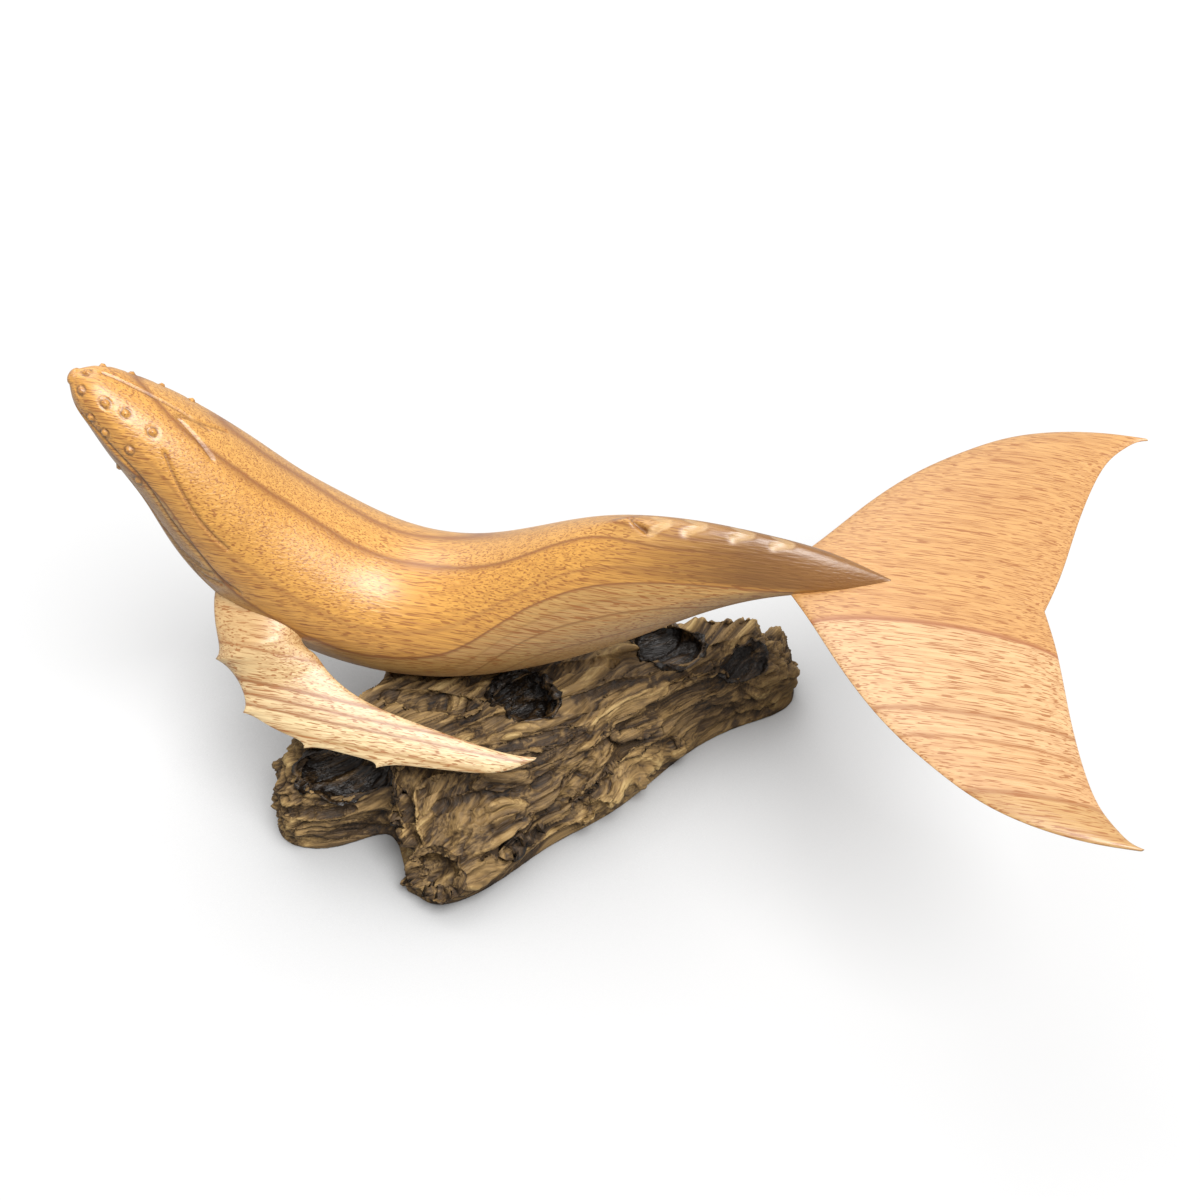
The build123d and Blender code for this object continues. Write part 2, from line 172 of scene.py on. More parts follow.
# Grain of the body, seen from the side: two growth lines as (x, z), the heartwood's lower edge and one
# near the back. Other lines follow them, at a distance that counts 20 from the one to the other
LOW_LINE = [
    (-160, 176), (-135, 153), (-117, 138), (-103, 113), (-81, 93), (-54, 80), (-32, 79), (-13, 85),
    (9, 103), (38, 121), (84, 126), (150, 128),
]
BACK_LINE = [
    (-160, 205), (-120, 166), (-90, 139), (-61, 116), (-40, 106), (-25, 105.5), (2, 114), (40, 135),
    (64, 137), (113, 139), (150, 140),
]
LINE_GAP = 20.0
BACK_SLANT = 0.03
BACK_BLEND = 4.0
BACK_BLEND_Y = -5.0
# Amber towards the tail: partly darker heartwood, partly painted shade on the peduncle's side and keel
AMBER_AND_SHADE_START = 35.0
AMBER_AND_SHADE_LENGTH = 60.0
AMBER_AND_SHADE_EDGE = 3.0
LOW_LINE_RING = 60.0
FLUKE_PITH_Y = 60.0
FLUKE_PITH_Z = 52.0
FIN_RING_DRIFT = 0.05

# Growth lines in each wood, as (ring, colour of the line, colour of the wood beyond it), and the line's
# soft inner side, half width and outer edge
RING_REACH = 200.0
RING_HALO = 1.4
RING_LINE = 0.2
RING_EDGE = 0.5
BODY_WOOD = "#b68e54"
BODY_ZONES = [
    (24, "#8c6634", "#b68e54"), (42, "#8a6230", "#ba9056"), (52, "#a27a40", "#bc9152"),
    (61, "#7d4c1e", "#cc9342"), (70, "#ae7a38", "#cf9642"), (83, "#84521f", "#d09a4c"),
    (90, "#8f5c28", "#d09a4c"),
]
FLUKE_WOOD = "#c08f54"
# The near lobe lies farther from the pith, so it is paler: partly its outer wood, partly painted sheen
FLUKE_ZONES = [
    (110, "#965a30", "#cca474"), (138, "#946032", "#cba374"), (147, "#a27040", "#c69b6a"),
    (163, "#946232", "#b8905a"),
]
FIN_WOOD = "#cba976"
FIN_ZONES = [
    (23, "#9a6836", "#cdae7c"), (35, "#875629", "#cfb182"), (40, "#875629", "#d0b486"),
    (44, "#875629", "#d6bd8e"), (51, "#a07a48", "#d6bd8e"),
]

# Varnished wood: sizes of its noises in mm along and across the grain, and the most that each one tints
WANDER_SIZE = (90, 30, 30)
WANDER_REACH = 2.0
STREAK_SIZE = (40, 1.2, 1.2)
STREAK_TINT = 0.5
FIBRE_SIZE = (14.0, 0.9, 0.9)
FIBRE_RISE = 0.5
PORE_SIZE = (8.0, 0.45, 0.45)
PORE_TINT = 0.85
PORE_COLOUR = "#8f5418"
# Amber on the peduncle: partly darker heartwood, partly painted shade
AMBER_AND_SHADE_TINT = 0.9
AMBER_AND_SHADE_COLOUR = "#6f4408"
SHOULDER_TINT = 0.12
SHOULDER_COLOUR = "#b3803c"
# Painted highlight on the facets of the knuckle chips
CHIP_HIGHLIGHT_TINT = 0.3
CHIP_HIGHLIGHT_COLOUR = "#e8c48c"
# Painted shade in the carved grooves, the dorsal notch and the rings round the knobs
CUT_SHADE_TINT = 0.75
CUT_SHADE_COLOUR = "#5e3512"

# White floor and surround: reach of the contact shadow in mm, greys that camera and other rays see, and
# the surround's strength at the horizon and overhead
FLOOR_SIZE = 3000.0
CONTACT_SHADOW = 90.0
FLOOR_WHITE = 0.57
FLOOR_DULL = 0.35
FLOOR_GLOW = 0.5
HORIZON_STRENGTH = 0.12
OVERHEAD_STRENGTH = 0.45

# Driftwood: mesh size, direction and winding of its grain in plan, the solid's hollows and open cracks,
# which both get painted shade, in mm
WOOD_VOXEL = 0.88
FLOW_ANGLE = math.radians(48.0)
GRAIN_BEND = 55.0
GRAIN_WINDING = (20.0, 40.0, 40.0)
HOLLOWS = [
    ((-50, -58, 36), (17, 10, 8)),
    ((12, -16, 46), (13.5, 9, 8.1)),
    ((100, 27, 37), (11.7, 9, 8.1)),
    ((64, 22, 48), (12.6, 8.1, 7.2)),
]
CRACKS = [
    [(52, -21, 36), (46, -28, 36), (40, -38, 30), (34, -50, 23), (24, -62, 21), (12, -76, 21)],
    [(8, -40, 44), (21, -33, 44), (30, -29, 44), (39, -24, 43)],
    [(-40, -28, 55), (-26, -28, 55), (-14, -27, 54), (-3, -25, 53)],
    [(74, -1, 14), (63, -15, 23), (56, -24, 26), (48, -35, 22), (42, -43, 18)],
    [(-75, -70, 22), (-60, -69, 22), (-46, -64, 20)],
    [(82, 20, 40), (66, 6, 45), (48, -4, 49), (34, -14, 49)],
    [(-11, -64, 33), (0, -58, 34), (12, -54, 34), (22, -50, 33)],
]
DEEP_CRACKS = [
    [(66, -8, 27), (56, -20, 31), (50, -31, 27), (44, -41, 21), (37, -47, 15), (27, -57, 16), (18, -68, 19)],
    [(88, 18, 31), (76, 8, 34), (65, -5, 36), (53, -17, 39)],
    [(-2, -47, 42), (-16, -54, 43), (-23, -61, 41), (-24, -69, 32), (-21, -75, 22)],
]
DEEP_CRACK_WIDTH = 4.0
DEEP_CRACK_DEPTH = 2.6
CRACK_WIDTH = 1.8
CRACK_DEPTH = 0.8
SPUR = (-19, -81, 6)
SPUR_WIDTH = 8.0
SPUR_HEIGHT = 8.0
HOLLOW_RIM = 1.4
HOLLOW_FADE = 0.3

# Weathering of the driftwood: length, width and spread of its valleys along the grain, and depths in mm
RIDGES = (130, 11, 0.2)
SPLITS = (90, 6.0, 0.07)
THREADS = (40, 1.8, 0.16)
RIDGE_DEPTH = 2.8
SPLIT_DEPTH = 1.8
THREAD_DEPTH = 0.6
PLATE_WIDTH = 10
PLATE_DEPTH = 0.5
SWELL_HEIGHT = 2.0
LUMPS_PER_METRE = 42.0
# Valley depth at which the painted shade in the driftwood is darkest
DARKEST_DEPTH = 4.8


def spline(knots, rows, at):
    """A natural cubic spline through rows of numbers."""
    rows = np.asarray(rows, float)
    gaps = np.diff(knots)
    system = np.eye(len(knots))
    bends = np.zeros_like(rows)
    for i in range(1, len(knots) - 1):
        system[i, i - 1:i + 2] = gaps[i - 1], 2 * (gaps[i - 1] + gaps[i]), gaps[i]
        bends[i] = 6 * ((rows[i + 1] - rows[i]) / gaps[i] - (rows[i] - rows[i - 1]) / gaps[i - 1])
    moments = np.linalg.solve(system, bends)
    i = np.clip(np.searchsorted(knots, at) - 1, 0, len(knots) - 2)
    left = ((knots[i + 1] - at) / gaps[i])[:, None]
    right = 1 - left
    curve = (left**3 - left) * moments[i] + (right**3 - right) * moments[i + 1]
    return left * rows[i] + right * rows[i + 1] + curve * (gaps[i] ** 2 / 6)[:, None]


def chain_lengths(points):
    """Distances along a chain of points, from its start."""
    steps = np.linalg.norm(np.diff(np.asarray(points, float), axis=0), axis=1)
    return np.concatenate([[0], np.cumsum(steps)])


SPINE_KNOTS = chain_lengths(BODY_STATIONS[:, :2])
SPINE_LENGTH = SPINE_KNOTS[-1]


def spine_tangent(along):
    reach = 0.5
    ahead = spline(SPINE_KNOTS, BODY_STATIONS[:, :2], np.clip(along + reach, 0, SPINE_LENGTH))
    behind = spline(SPINE_KNOTS, BODY_STATIONS[:, :2], np.clip(along - reach, 0, SPINE_LENGTH))
    run = ahead - behind
    return run / np.linalg.norm(run, axis=1)[:, None]


def dorsal_rise(along, degrees):
    """The low dorsal fin: it rises slowly from the front and drops at the rear."""
    rise = np.clip((along - DORSAL_FRONT) / (DORSAL_REAR - DORSAL_FRONT), 0, 1) ** DORSAL_CURVE
    drop = np.clip((DORSAL_REAR + DORSAL_DROP - along) / DORSAL_DROP, 0, 1)
    return DORSAL_HEIGHT * rise * drop * np.exp(-((degrees / DORSAL_SPREAD) ** 2))


def body_points(along, degrees, shrink=1.0):
    """Points of the carved body; degrees run from the back down the left side."""
    along, degrees = np.broadcast_arrays(np.asarray(along, float), np.asarray(degrees, float))
    shape = along.shape
    along, degrees = along.ravel(), degrees.ravel()
    x, z, above, below, half_width, ridge = spline(SPINE_KNOTS, BODY_STATIONS, along).T
    tangent = spine_tangent(along)
    angle = np.radians(degrees)
    upright, side = np.cos(angle), np.sin(angle)
    roof = RIDGE_FLATTENING * np.clip(ridge, 0, 1)
    round_side = np.abs(side)
    upper_side = (1 - roof) * round_side + roof * (1 - np.abs(upright))
    width = np.where(upright >= 0, upper_side, round_side) * np.sign(side) * half_width * shrink
    height = np.where(upright >= 0, above, below) * upright * shrink
    height = height + dorsal_rise(along, degrees)
    points = np.stack([x - tangent[:, 1] * height, -width, z + tangent[:, 0] * height], 1)
    return points.reshape(shape + (3,))


def mesh_object(name, points, edges, faces):
    """A new object at the origin, with its place in its mesh, from points in mm."""
    mesh = bpy.data.meshes.new(name)
    mesh.from_pydata((np.asarray(points) * MM).tolist(), edges, faces)
    mesh.validate()
    mesh.shade_smooth()
    obj = bpy.data.objects.new(name, mesh)
    bpy.context.collection.objects.link(obj)
    return obj


def tube_object(name, rings):
    """A closed skin over a row of rings, with a pole at each end."""
    count, around = rings.shape[:2]
    points = rings.reshape(-1, 3)
    first, last = len(points), len(points) + 1
    points = np.vstack([points, rings[0].mean(0), rings[-1].mean(0)])
    faces = []
    for i in range(count - 1):
        for j in range(around):
            k = (j + 1) % around
            faces.append((i * around + j, i * around + k, (i + 1) * around + k, (i + 1) * around + j))
    for j in range(around):
        k = (j + 1) % around
        faces.append((first, k, j))
        faces.append((last, (count - 1) * around + j, (count - 1) * around + k))
    obj = mesh_object(name, points, [], faces)
    turn_outwards(obj.data)
    return obj


def turn_outwards(mesh):
    """Flips a closed mesh whose faces point inwards, by the sign of its volume."""
    mesh.calc_loop_triangles()
    corners = np.array([v.co for v in mesh.vertices])
    triangles = np.array([t.vertices for t in mesh.loop_triangles])
    a, b, c = corners[triangles[:, 0]], corners[triangles[:, 1]], corners[triangles[:, 2]]
    if np.einsum("ij,ij->i", a, np.cross(b, c)).sum() < 0:
        mesh.flip_normals()


def whale_body():
    degrees = np.linspace(0, 360, BODY_SEGMENTS, endpoint=False)
    degrees = (degrees + 180) % 360 - 180
    rings = []
    for along in np.linspace(0, SPINE_LENGTH, BODY_RINGS):
        rings.append(body_points(along, degrees))
    caps = []
    for end, length, sign in ((0.0, SNOUT_CAP, -1), (SPINE_LENGTH, KEEL_CAP, 1)):
        tangent = spine_tangent(np.array([end]))[0]
        run = np.array([tangent[0], 0, tangent[1]]) * sign * length
        turns = np.linspace(0, math.pi / 2, CAP_RINGS + 1)[1:-1]
        caps.append([body_points(end, degrees, math.cos(turn)) + run * math.sin(turn) for turn in turns])
    return tube_object("whale_carved_body", np.array(caps[0][::-1] + rings + caps[1]))


def beyond_fold(flat):
    """How far points of the blade's plane lie past the fold, towards the tip."""
    start, end = np.array(FIN_FOLD[0]), np.array(FIN_FOLD[1])
    run = (end - start) / np.linalg.norm(end - start)
    return (flat[:, 0] - start[0]) * run[1] - (flat[:, 1] - start[1]) * run[0]


def fold_height(flat):
    """Rise of the fin's shoulder fold over a point of the blade's plane."""
    return FIN_FOLD_HEIGHT * np.clip(1 - np.abs(beyond_fold(flat)) / FIN_FOLD_REACH, 0, 1)


def blade_rings(ribs, thickness, to_space, up, knobs=()):
    """Rings of a thin blade between its leading and trailing edge, from the root to the tip."""
    ribs = np.asarray(ribs, float)
    rows = np.column_stack([ribs, np.linspace(*thickness, len(ribs))])
    knots = chain_lengths((ribs[:, :2] + ribs[:, 2:]) / 2)
    share = np.linspace(0, 1, BLADE_RINGS)
    dense = spline(knots, rows, knots[-1] * (1 - (1 - share) ** TIP_CROWDING))
    front, rear, thick = dense[:, :2], dense[:, 2:4], np.clip(dense[:, 4], thickness[1], None)
    chord = front - rear
    chord = chord / np.linalg.norm(chord, axis=1)[:, None]
    edge = chain_lengths(front)
    for knob in knobs:
        nearest = np.argmin(np.linalg.norm(front - np.array(knob), axis=1))
        cusp = np.exp(-np.abs(edge - edge[nearest]) / FIN_KNOB_REACH)
        front = front + chord * (FIN_KNOB_HEIGHT * cusp)[:, None]
    turns = np.linspace(0, 2 * math.pi, BLADE_SEGMENTS, endpoint=False)
    rings = []
    for i in range(BLADE_RINGS):
        middle, half = (front[i] + rear[i]) / 2, (front[i] - rear[i]) / 2
        flat = middle + half * np.cos(turns)[:, None]
        swell = np.sign(np.sin(turns)) * np.abs(np.sin(turns)) ** EDGE_ROUNDING
        rise = swell * thick[i] / 2
        if knobs:
            rise = rise + fold_height(flat) * np.abs(swell)
        rings.append(to_space(flat) + up * rise[:, None])
    return np.array(rings)


def tail_fluke():
    def to_space(flat):
        return np.column_stack([NOTCH_X + flat[:, 0], flat[:, 1], np.full(len(flat), FLUKE_Z)])

    right = blade_rings(FLUKE_RIBS, FLUKE_THICKNESS, to_space, np.array([0.0, 0.0, 1.0]))
    left = right * np.array([1.0, -1.0, 1.0])
    return tube_object("whale_tail_fluke", np.concatenate([left[:0:-1], right]))


def fin_axes():
    normal = FIN_NORMAL / np.linalg.norm(FIN_NORMAL)
    along = np.array([1.0, 0.0, 0.0]) - normal[0] * normal
    along = along / np.linalg.norm(along)
    return along, np.cross(normal, along), normal


def pectoral_fin(name, side):
    """The left fin for side 1, and the right one for side -1."""
    along, inward, normal = fin_axes()

    def to_space(flat):
        return FIN_ORIGIN + flat[:, :1] * along + flat[:, 1:2] * inward

    rings = blade_rings(FIN_RIBS, FIN_THICKNESS, to_space, normal, FIN_KNOBS)
    if side < 0:
        rings = right_side(rings)
    return tube_object(name, rings)


def right_side(points):
    """Points of the left fin mirrored to the right side, where the fin droops a little more."""
    root = np.array([0.0, -FIN_ORIGIN[1], FIN_ORIGIN[2]])
    across = points * np.array([1.0, -1.0, 1.0]) - root
    turn, tilt = math.cos(RIGHT_FIN_DROOP), math.sin(RIGHT_FIN_DROOP)
    y = across[..., 1] * turn + across[..., 2] * tilt
    z = across[..., 2] * turn - across[..., 1] * tilt
    return np.stack([across[..., 0], y, z], -1) + root


def add(tree, kind, inputs=(), **settings):
    """Adds one node, sets its properties, and fills its inputs with values or links."""
    node = tree.nodes.new(kind)
    for name, value in settings.items():
        setattr(node, name, value)
    for key, value in dict(inputs).items():
        if isinstance(value, bpy.types.NodeSocket):
            tree.links.new(value, node.inputs[key])
        else:
            node.inputs[key].default_value = value
    return node


def new_tree(name, inputs):
    """An empty Geometry Nodes tree with named inputs, and its group input and output."""
    tree = bpy.data.node_groups.new(name, "GeometryNodeTree")
    tree.interface.new_socket("Geometry", in_out="OUTPUT", socket_type="NodeSocketGeometry")
    tree.interface.new_socket("Geometry", in_out="INPUT", socket_type="NodeSocketGeometry")
    for label, kind in inputs:
        tree.interface.new_socket(label, in_out="INPUT", socket_type=kind)
    return tree, add(tree, "NodeGroupInput"), add(tree, "NodeGroupOutput")


def close_tree(tree, given, result, geometry):
    real = add(tree, "GeometryNodeRealizeInstances", {"Geometry": geometry})
    dressed = add(tree, "GeometryNodeSetMaterial", {
        "Geometry": real.outputs[0], "Material": given.outputs["Material"],
    })
    tree.links.new(dressed.outputs[0], result.inputs[0])


def carving_tree(name, element, mark):
    """Cuts or raises a surface along guide edges or round guide points, and marks how near they are."""
    tree, given, result = new_tree(name, [
        ("Guide", "NodeSocketObject"), ("Width", "NodeSocketFloat"), ("Depth", "NodeSocketFloat"),
        ("Ring", "NodeSocketFloat"), ("Shade", "NodeSocketFloat"), ("Material", "NodeSocketMaterial"),
    ])
    guide = add(tree, "GeometryNodeObjectInfo", {"Object": given.outputs["Guide"]},
                transform_space="ORIGINAL")
    near = add(tree, "GeometryNodeProximity", {0: guide.outputs["Geometry"]}, target_element=element)
    off_ring = add(tree, "ShaderNodeMath", {0: near.outputs["Distance"], 1: given.outputs["Ring"]},
                   operation="SUBTRACT")
    distance = add(tree, "ShaderNodeMath", {0: off_ring.outputs[0]}, operation="ABSOLUTE")
    falloff = add(tree, "ShaderNodeMapRange", {
        "Value": distance.outputs[0], "From Min": given.outputs["Width"], "From Max": 0.0,
        "To Min": 0.0, "To Max": 1.0,
    }, interpolation_type="SMOOTHERSTEP")
    depth = add(tree, "ShaderNodeMath", {0: falloff.outputs[0], 1: given.outputs["Depth"]},
                operation="MULTIPLY")
    normal = add(tree, "GeometryNodeInputNormal")
    offset = add(tree, "ShaderNodeVectorMath", {0: normal.outputs[0], "Scale": depth.outputs[0]},
                 operation="SCALE")
    # Shade scales the mark that the materials turn into painted shade, or a painted highlight on the knuckle
    # chips
    shade = add(tree, "ShaderNodeMath", {0: falloff.outputs[0], 1: given.outputs["Shade"]},
                operation="MULTIPLY")
    marked = keep_deepest(tree, given.outputs["Geometry"], mark, shade.outputs[0])
    moved = add(tree, "GeometryNodeSetPosition", {"Geometry": marked, "Offset": offset.outputs[0]})
    close_tree(tree, given, result, moved.outputs[0])
    return tree


def keep_deepest(tree, geometry, mark, value):
    """Stores a value as an attribute wherever it is more than what is there."""
    before = add(tree, "GeometryNodeInputNamedAttribute", {"Name": mark}, data_type="FLOAT")
    deepest = add(tree, "ShaderNodeMath", {0: value, 1: before.outputs["Attribute"]}, operation="MAXIMUM")
    stored = add(tree, "GeometryNodeStoreNamedAttribute", {
        "Geometry": geometry, "Name": mark, "Value": deepest.outputs[0],
    }, data_type="FLOAT", domain="POINT")
    return stored.outputs[0]


def grain_valleys(tree, place, along_mm, across_mm, spread):
    """Long narrow valleys along the grain, as 0 on the tops and 1 in the bottoms."""
    grain = add(tree, "ShaderNodeVectorMath", {
        0: place, 1: (1 / (along_mm * MM), 1 / (across_mm * MM), 1 / (across_mm * MM)),
    }, operation="MULTIPLY")
    noise = add(tree, "ShaderNodeTexNoise", {"Vector": grain.outputs[0], "Scale": 1.0, "Detail": 1.5})
    fold = add(tree, "ShaderNodeMath", {0: noise.outputs[0], 1: 0.5}, operation="SUBTRACT")
    valley = add(tree, "ShaderNodeMath", {0: fold.outputs[0]}, operation="ABSOLUTE")
    cut = add(tree, "ShaderNodeMapRange", {
        "Value": valley.outputs[0], "From Min": spread, "From Max": 0.0, "To Min": 0.0, "To Max": 1.0,
    })
    return cut.outputs[0]


def winding_grain(tree, place):
    """Coordinates along and across the driftwood's grain, which winds in long soft bends."""
    noise = add(tree, "ShaderNodeTexNoise", {
        "Vector": place, "Scale": 1 / (GRAIN_BEND * MM), "Detail": 1.0,
    })
    centred = add(tree, "ShaderNodeVectorMath", {0: noise.outputs["Color"], 1: (0.5, 0.5, 0.5)},
                  operation="SUBTRACT")
    reach = [size * MM for size in GRAIN_WINDING]
    moved = add(tree, "ShaderNodeVectorMath", {0: centred.outputs[0], 1: reach, 2: place},
                operation="MULTIPLY_ADD")
    return moved.outputs[0]


def driftwood_tree():
    """Weathers a smooth block: lumps, lifted plates, winding ridges, splits and threads along the grain, and
    marks the valleys' depth for painted shade.
    """
    tree, given, result = new_tree("driftwood weathering", [
        ("Flow", "NodeSocketFloat"), ("Swell", "NodeSocketFloat"), ("Plate depth", "NodeSocketFloat"),
        ("Ridge depth", "NodeSocketFloat"), ("Split depth", "NodeSocketFloat"),
        ("Thread depth", "NodeSocketFloat"),
        ("Whale", "NodeSocketObject"), ("Fin", "NodeSocketObject"), ("Material", "NodeSocketMaterial"),
    ])
    place = add(tree, "GeometryNodeInputPosition")
    turned = add(tree, "ShaderNodeVectorRotate", {"Vector": place.outputs[0], "Angle": given.outputs["Flow"]},
                 rotation_type="Z_AXIS", invert=True)
    flow = winding_grain(tree, turned.outputs[0])
    across = add(tree, "ShaderNodeSeparateXYZ", {0: flow})
    layer = add(tree, "ShaderNodeMath", {0: across.outputs["Y"], 1: 1 / (PLATE_WIDTH * MM), 2: 0.3},
                operation="MULTIPLY_ADD")
    saw = add(tree, "ShaderNodeMath", {0: layer.outputs[0]}, operation="FRACT")
    lifted = add(tree, "ShaderNodeFloatCurve", {"Value": saw.outputs[0]})
    set_curve(lifted.mapping, [(0.0, 1.0), (0.45, 0.55), (0.8, 0.0), (1.0, 1.0)])
    plates = add(tree, "ShaderNodeMath", {0: lifted.outputs[0], 1: given.outputs["Plate depth"]},
                 operation="MULTIPLY")
    depth = plates.outputs[0]
    for sizes, label in ((RIDGES, "Ridge depth"), (SPLITS, "Split depth"), (THREADS, "Thread depth")):
        valleys = grain_valleys(tree, flow, *sizes)
        depth = add(tree, "ShaderNodeMath", {0: valleys, 1: given.outputs[label], 2: depth},
                    operation="MULTIPLY_ADD").outputs[0]
    neighbours = add(tree, "GeometryNodeJoinGeometry")
    for label in ("Whale", "Fin"):
        info = add(tree, "GeometryNodeObjectInfo", {"Object": given.outputs[label]},
                   transform_space="ORIGINAL")
        tree.links.new(info.outputs["Geometry"], neighbours.inputs[0])
    near = add(tree, "GeometryNodeProximity", {0: neighbours.outputs[0]}, target_element="FACES")
    free = add(tree, "ShaderNodeMapRange", {
        "Value": near.outputs["Distance"], "From Min": 2 * MM, "From Max": 9 * MM,
        "To Min": 0.0, "To Max": 1.0,
    }, interpolation_type="SMOOTHSTEP")
    lumps = add(tree, "ShaderNodeTexNoise", {
        "Vector": turned.outputs[0], "Scale": LUMPS_PER_METRE, "Detail": 3.0,
    })
    swell = add(tree, "ShaderNodeMapRange", {
        "Value": lumps.outputs[0], "From Min": 0.3, "From Max": 0.7, "To Min": -1.0, "To Max": 1.0,
    }, clamp=False)
    swollen = add(tree, "ShaderNodeMath", {0: swell.outputs[0], 1: given.outputs["Swell"]},
                  operation="MULTIPLY")
    clear = add(tree, "ShaderNodeMath", {0: swollen.outputs[0], 1: free.outputs[0]}, operation="MULTIPLY")
    raised = add(tree, "ShaderNodeMath", {0: clear.outputs[0], 1: depth}, operation="SUBTRACT")
    height = add(tree, "ShaderNodeSeparateXYZ", {0: place.outputs[0]})
    sawn = add(tree, "ShaderNodeMapRange", {
        "Value": height.outputs["Z"], "From Min": 0.8 * MM, "From Max": 3 * MM,
        "To Min": 0.0, "To Max": 1.0,
    })
    shift = add(tree, "ShaderNodeMath", {0: raised.outputs[0], 1: sawn.outputs[0]}, operation="MULTIPLY")
    normal = add(tree, "GeometryNodeInputNormal")
    offset = add(tree, "ShaderNodeVectorMath", {0: normal.outputs[0], "Scale": shift.outputs[0]},
                 operation="SCALE")
    # Painted shade: the valleys' depth is stored as a mark that darkens the wood
    relative = add(tree, "ShaderNodeMath", {0: depth, 1: 1 / (DARKEST_DEPTH * MM)}, operation="MULTIPLY")
    marked = keep_deepest(tree, given.outputs["Geometry"], "cut", relative.outputs[0])
    moved = add(tree, "GeometryNodeSetPosition", {"Geometry": marked, "Offset": offset.outputs[0]})
    close_tree(tree, given, result, moved.outputs[0])
    return tree


def set_curve(mapping, points):
    """Gives a curve node the points that it runs through."""
    curve = mapping.curves[0]
    while len(curve.points) < len(points):
        curve.points.new(0.5, 0.5)
    for point, place in zip(curve.points, points):
        point.location = place
    mapping.update()


def bake_modifiers(obj):
    """Turns an object's modifiers into its plain mesh."""
    evaluated = obj.evaluated_get(bpy.context.evaluated_depsgraph_get())
    mesh = bpy.data.meshes.new_from_object(evaluated)
    obj.modifiers.clear()
    obj.data = mesh
    mesh.shade_smooth()


def run_tree(obj, tree, values):
    """Runs a tree on an object with its inputs set, and keeps the result as the plain mesh."""
    modifier = obj.modifiers.new(tree.name, "NODES")
    modifier.node_group = tree
    for item in tree.interface.items_tree:
        if item.in_out == "INPUT" and item.name in values:
            modifier[item.identifier] = values[item.name]
    bake_modifiers(obj)


def guide_lines(lines):
    """An object of edges only, one chain for each line of points in mm."""
    points, edges = [], []
    for line in lines:
        start = len(points)
        points.extend(line)
        edges.extend((i, i + 1) for i in range(start, len(points) - 1))
    return mesh_object("guide", points, edges, [])


def guide_points(points):
    return mesh_object("guide", points, [], [])


def body_line(places, side, count=40):
    """A smooth line on the body through places given as (along, degrees)."""
    places = np.asarray(places, float)
    knots = chain_lengths(places)
    dense = spline(knots, places, np.linspace(0, knots[-1], count))
    return body_points(dense[:, 0], dense[:, 1] * side)


def carve_body(body, material):
    """Cuts the mouth, pleats, blowholes, knuckles and dorsal notch, and raises the knobs on the jaws; marks
    painted shade in the cuts and round the knobs, and a painted highlight on the knuckle chips.
    """
    by_edge = carving_tree("carving along lines", "EDGES", "cut")
    by_point = carving_tree("carving round points", "POINTS", "cut")
    # The knuckle chips' mark is a painted highlight on their facets
    by_chip_highlight = carving_tree("pale chips along lines", "EDGES", "chip")
    lines = [body_line(line, side) for line in (MOUTH_LINE, CHEEK_LINE, BLOWHOLE_SLIT) for side in (1, -1)]
    lines.append(body_line(HEAD_CREASE, 1))
    knobs = [body_points(*place) for place in LEFT_KNOBS + RIGHT_KNOBS + SNOUT_KNOB]
    chips = [
        body_line([(along, degrees), (along - KNUCKLE_LENGTH, degrees + KNUCKLE_FALL)], side)
        for along, degrees in KNUCKLES for side in (1, -1)
    ]
    cuts = [
        # The last number of each cut scales the painted shade marked in it; for the knuckle chips, their
        # painted highlight
        (by_edge, guide_lines(pleat_lines()), PLEAT_WIDTH, -PLEAT_DEPTH, 0.0, PLEAT_SHADE),
        (by_edge, guide_lines(lines), LINE_WIDTH, -LINE_DEPTH, 0.0, LINE_SHADE),
        (by_point, guide_points(knobs), KNOB_CHIP_WIDTH, -KNOB_CHIP_DEPTH, KNOB_RADIUS, 1.0),
        (by_point, guide_points(knobs), KNOB_RADIUS, KNOB_HEIGHT, 0.0, 0.0),
        (by_chip_highlight, guide_lines(chips), KNUCKLE_WIDTH, -KNUCKLE_DEPTH, 0.0, 1.0),
        (by_edge, guide_lines([body_line(DORSAL_NOTCH, 1)]), NOTCH_WIDTH, -NOTCH_DEPTH, 0.0, 1.0),
    ]
    for tree, guide, width, depth, ring, shade in cuts:
        carve(body, tree, guide, width, depth, ring, shade, material)


def carve(obj, tree, guide, width, depth, ring, shade, material):
    """Runs one carving tree with sizes in mm, and deletes its guide."""
    run_tree(obj, tree, {
        "Guide": guide, "Width": width * MM, "Depth": depth * MM, "Ring": ring * MM, "Shade": shade,
        "Material": material,
    })
    bpy.data.objects.remove(guide)


def pleat_lines():
    """Throat pleats from the chin back, and the three that turn up at the fin's root."""
    paths = [[(PLEAT_FRONT, degrees), (PLEAT_REAR, degrees)] for degrees in PLEAT_ANGLES]
    return [body_line(path, side) for path in paths + PLEAT_TURNS for side in (1, -1)]


